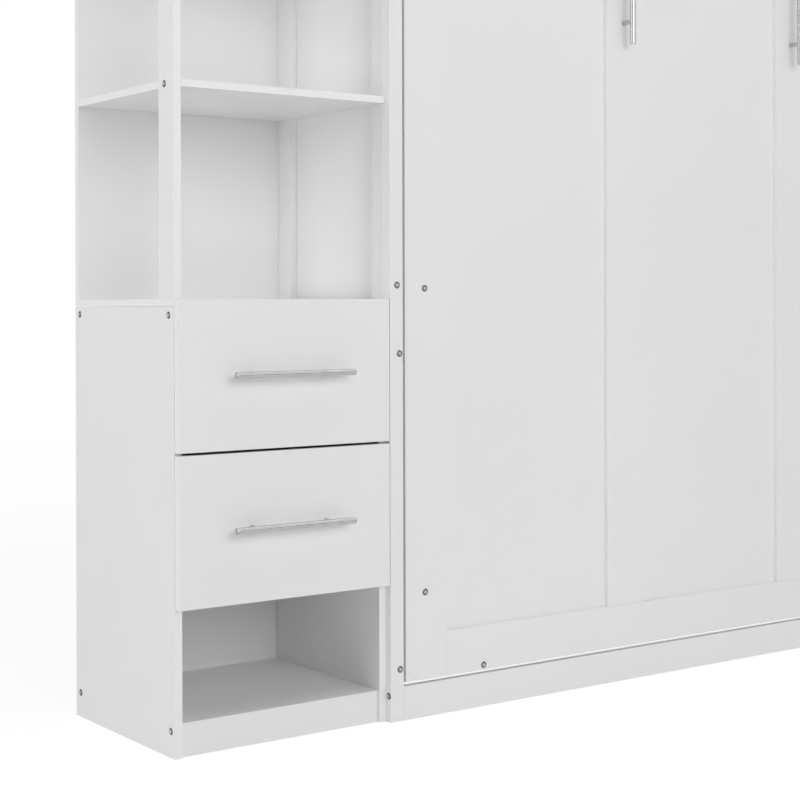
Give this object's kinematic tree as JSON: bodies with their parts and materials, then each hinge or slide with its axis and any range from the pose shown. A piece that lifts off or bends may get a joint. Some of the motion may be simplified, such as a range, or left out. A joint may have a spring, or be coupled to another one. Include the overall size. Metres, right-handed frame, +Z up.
{
  "type": "murphy wall bed",
  "caption": "White wall bed that folds up into a tall cabinet behind a panelled front, with a side tower of drawers, a cubby and open shelves.",
  "frame": {"origin": "on the floor, under the middle of the whole, handles included", "axes": "+Z up, +X to the right of someone facing the front, +Y towards the wall; the front faces -Y"},
  "size_m": [2.2128, 0.4536, 2.215],
  "materials": {
    "white_board": "satin white faced board",
    "slat_wood": "sanded, unfinished",
    "nickel": "brushed nickel",
    "steel": "zinc plated",
    "black_steel": "gloss black"
  },
  "bodies": {
    "cabinet": {"tower_side_left": "white_board", "tower_side_right": "white_board", "tower_plinth": "white_board", "tower_floor": "white_board", "tower_divider": "white_board", "tower_back_lower": "white_board", "tower_stretcher": "white_board", "tower_deck": "white_board", "tower_post": "white_board", "tower_back_upper": "white_board", "tower_top": "white_board", "tower_shelf_1": "white_board", "tower_shelf_2": "white_board", "tower_shelf_3": "white_board", "drawer_1_runner_left": "steel", "drawer_1_runner_right": "steel", "drawer_2_runner_left": "steel", "drawer_2_runner_right": "steel", "bed_side_left": "white_board", "bed_side_right": "white_board", "stile_left": "white_board", "stile_right": "white_board", "front_post_left": "white_board", "front_post_right": "white_board", "rear_post_left": "white_board", "rear_post_right": "white_board", "cabinet_top": "white_board", "fascia": "white_board", "kick_board": "white_board", "rear_rail_top": "white_board", "rear_rail_lower": "white_board", "pivot_plate_left": "steel", "pivot_plate_right": "steel"},
    "bed": {"bed_panel": "white_board", "bed_rail_bottom": "white_board", "bed_rail_top": "white_board", "bed_stile_left": "white_board", "bed_mullion_1": "white_board", "bed_mullion_2": "white_board", "bed_stile_right": "white_board", "bed_handle_1": "nickel", "bed_handle_2": "nickel", "bed_side_rail_left": "white_board", "bed_side_rail_right": "white_board", "bed_end_rail_bottom": "white_board", "bed_end_rail_top": "white_board", "bed_centre_beam": "white_board", "slat_deck": "slat_wood"},
    "strut_cylinder_left": {"strut_cylinder_left": "black_steel"},
    "strut_cylinder_right": {"strut_cylinder_right": "black_steel"},
    "strut_rod_left": {"strut_rod_left": "steel"},
    "strut_rod_right": {"strut_rod_right": "steel"},
    "leg_left": {"leg_left": "white_board"},
    "leg_right": {"leg_right": "white_board"},
    "drawer_1": {"drawer_1_front": "white_board", "drawer_1_box": "white_board", "drawer_1_handle": "nickel"},
    "drawer_2": {"drawer_2_front": "white_board", "drawer_2_box": "white_board", "drawer_2_handle": "nickel"}
  },
  "joints": [
    {"name": "bed_fold", "type": "hinge", "parent": "cabinet", "child": "bed", "pos_m": [0.22815, -0.08625, 0.35], "axis": [1, 0, 0], "range_deg": [0, 90], "stiffness_Nm_per_rad": 240, "springref_deg": -22.92},
    {"name": "strut_swing_left", "type": "hinge", "parent": "cabinet", "child": "strut_cylinder_left", "pos_m": [-0.5962, 0.02375, 0.85], "axis": [1, 0, 0], "range_deg": [0, 6.61]},
    {"name": "strut_slide_left", "type": "slide", "parent": "strut_cylinder_left", "child": "strut_rod_left", "axis": [0, 0.1396, 0.9902], "range_m": [0, 0.1287]},
    {"name": "strut_swing_right", "type": "hinge", "parent": "cabinet", "child": "strut_cylinder_right", "pos_m": [1.0525, 0.02375, 0.85], "axis": [1, 0, 0], "range_deg": [0, 6.61]},
    {"name": "strut_slide_right", "type": "slide", "parent": "strut_cylinder_right", "child": "strut_rod_right", "axis": [0, 0.1396, 0.9902], "range_m": [0, 0.1287]},
    {"name": "leg_left_fold", "type": "hinge", "parent": "bed", "child": "leg_left", "pos_m": [-0.56385, -0.18975, 2.1], "axis": [-1, 0, 0], "range_deg": [0, 90]},
    {"name": "leg_right_fold", "type": "hinge", "parent": "bed", "child": "leg_right", "pos_m": [1.02015, -0.18975, 2.1], "axis": [-1, 0, 0], "range_deg": [0, 90]},
    {"name": "drawer_1_slide", "type": "slide", "parent": "cabinet", "child": "drawer_1", "axis": [0, -1, 0], "range_m": [0, 0.3]},
    {"name": "drawer_2_slide", "type": "slide", "parent": "cabinet", "child": "drawer_2", "axis": [0, -1, 0], "range_m": [0, 0.3]}
  ],
  "couplings": [
    {"joint": "strut_swing_left", "follows": "bed_fold", "ratio": 0.071176},
    {"joint": "strut_slide_left", "follows": "bed_fold", "m_per_rad": 0.081606},
    {"joint": "strut_swing_right", "follows": "bed_fold", "ratio": 0.071176},
    {"joint": "strut_slide_right", "follows": "bed_fold", "m_per_rad": 0.081606}
  ]
}
